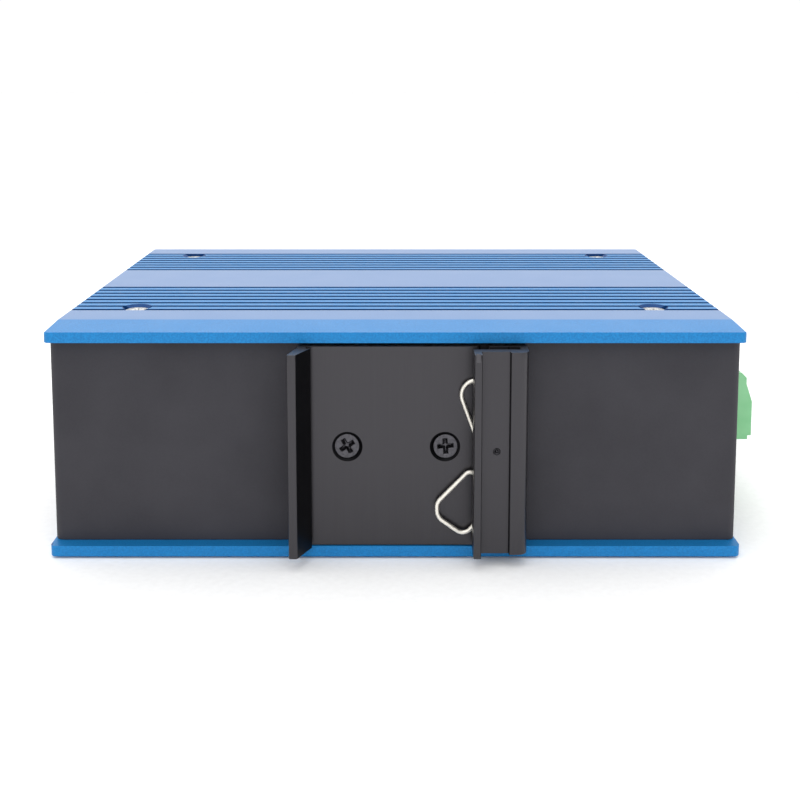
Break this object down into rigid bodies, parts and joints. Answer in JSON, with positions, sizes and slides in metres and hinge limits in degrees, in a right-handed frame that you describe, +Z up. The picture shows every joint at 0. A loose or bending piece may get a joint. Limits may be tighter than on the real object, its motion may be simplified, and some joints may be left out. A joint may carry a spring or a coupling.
{
  "type": "din rail ethernet switch",
  "caption": "Industrial network switch for a 35 mm rail: grooved heat-sink side plates, folded black case, spring rail clip, socket row and pull-off terminal.",
  "frame": {"origin": "middle of the lower side plate's outer face, on which the switch lies", "axes": "+X towards the terminal end (the top in use), -Y towards the rail clip (the rear), +Y towards the sockets, +Z up"},
  "size_m": [0.1512, 0.1107, 0.048],
  "materials": {
    "blue_anodised_aluminium": "bead-blasted, blue anodised",
    "zinc_plated_screw": "zinc plated",
    "plated_nut": "zinc plated",
    "black_powder_coated_sheet": "matt black, fine texture",
    "black_anodised_aluminium": "matt black anodised",
    "black_oxide_screw": "black oxide with a slight shine",
    "bright_spring_wire": "bright drawn wire",
    "green_laminate": "solder resist",
    "tinned_shield": "tinned, satin",
    "black_moulding": "moulded, matt",
    "gold_plated_contact": "gold plated",
    "clear_light_window": "clear moulded",
    "green_led_resin": "tinted resin, unlit",
    "green_terminal_moulding": "moulded, satin",
    "tinned_pin": "tinned",
    "chip_moulding": "moulded, matt",
    "relay_moulding": "moulded, glossy",
    "aluminium_can": "drawn can",
    "nickel_plated_screw": "nickel plated"
  },
  "bodies": {
    "case": {"alarm_relay": "relay_moulding", "board_screws": "zinc_plated_screw", "board_standoffs": "plated_nut", "case_shell": "black_powder_coated_sheet", "chip_heatsink": "black_anodised_aluminium", "circuit_board": "green_laminate", "clip_nuts": "plated_nut", "clip_screws": "black_oxide_screw", "clip_spring": "bright_spring_wire", "clock_crystal": "aluminium_can", "din_clip": "black_anodised_aluminium", "earth_nut": "plated_nut", "earth_screw": "nickel_plated_screw", "front_panel": "black_powder_coated_sheet", "header_pins": "tinned_pin", "lower_plate_screws": "zinc_plated_screw", "lower_side_plate": "blue_anodised_aluminium", "network_transformers": "chip_moulding", "port_contacts_1": "gold_plated_contact", "port_contacts_2": "gold_plated_contact", "port_contacts_3": "gold_plated_contact", "port_contacts_4": "gold_plated_contact", "port_contacts_5": "gold_plated_contact", "port_insert_1": "black_moulding", "port_insert_2": "black_moulding", "port_insert_3": "black_moulding", "port_insert_4": "black_moulding", "port_insert_5": "black_moulding", "port_lights": "clear_light_window", "port_shield_1": "tinned_shield", "port_shield_2": "tinned_shield", "port_shield_3": "tinned_shield", "port_shield_4": "tinned_shield", "port_shield_5": "tinned_shield", "power_inductor": "chip_moulding", "power_regulator": "chip_moulding", "smoothing_capacitors": "aluminium_can", "spring_pin": "black_oxide_screw", "status_led_holders": "black_moulding", "status_leds": "green_led_resin", "switch_chip": "chip_moulding", "terminal_header": "green_terminal_moulding", "upper_plate_screws": "zinc_plated_screw", "upper_side_plate": "blue_anodised_aluminium"},
    "plug": {"plug_clamps": "tinned_pin", "plug_screws": "tinned_pin", "terminal_plug": "green_terminal_moulding"}
  },
  "joints": [
    {"name": "plug_pull", "type": "slide", "parent": "case", "child": "plug", "axis": [1, 0, 0], "range_m": [0, 0.012]}
  ]
}
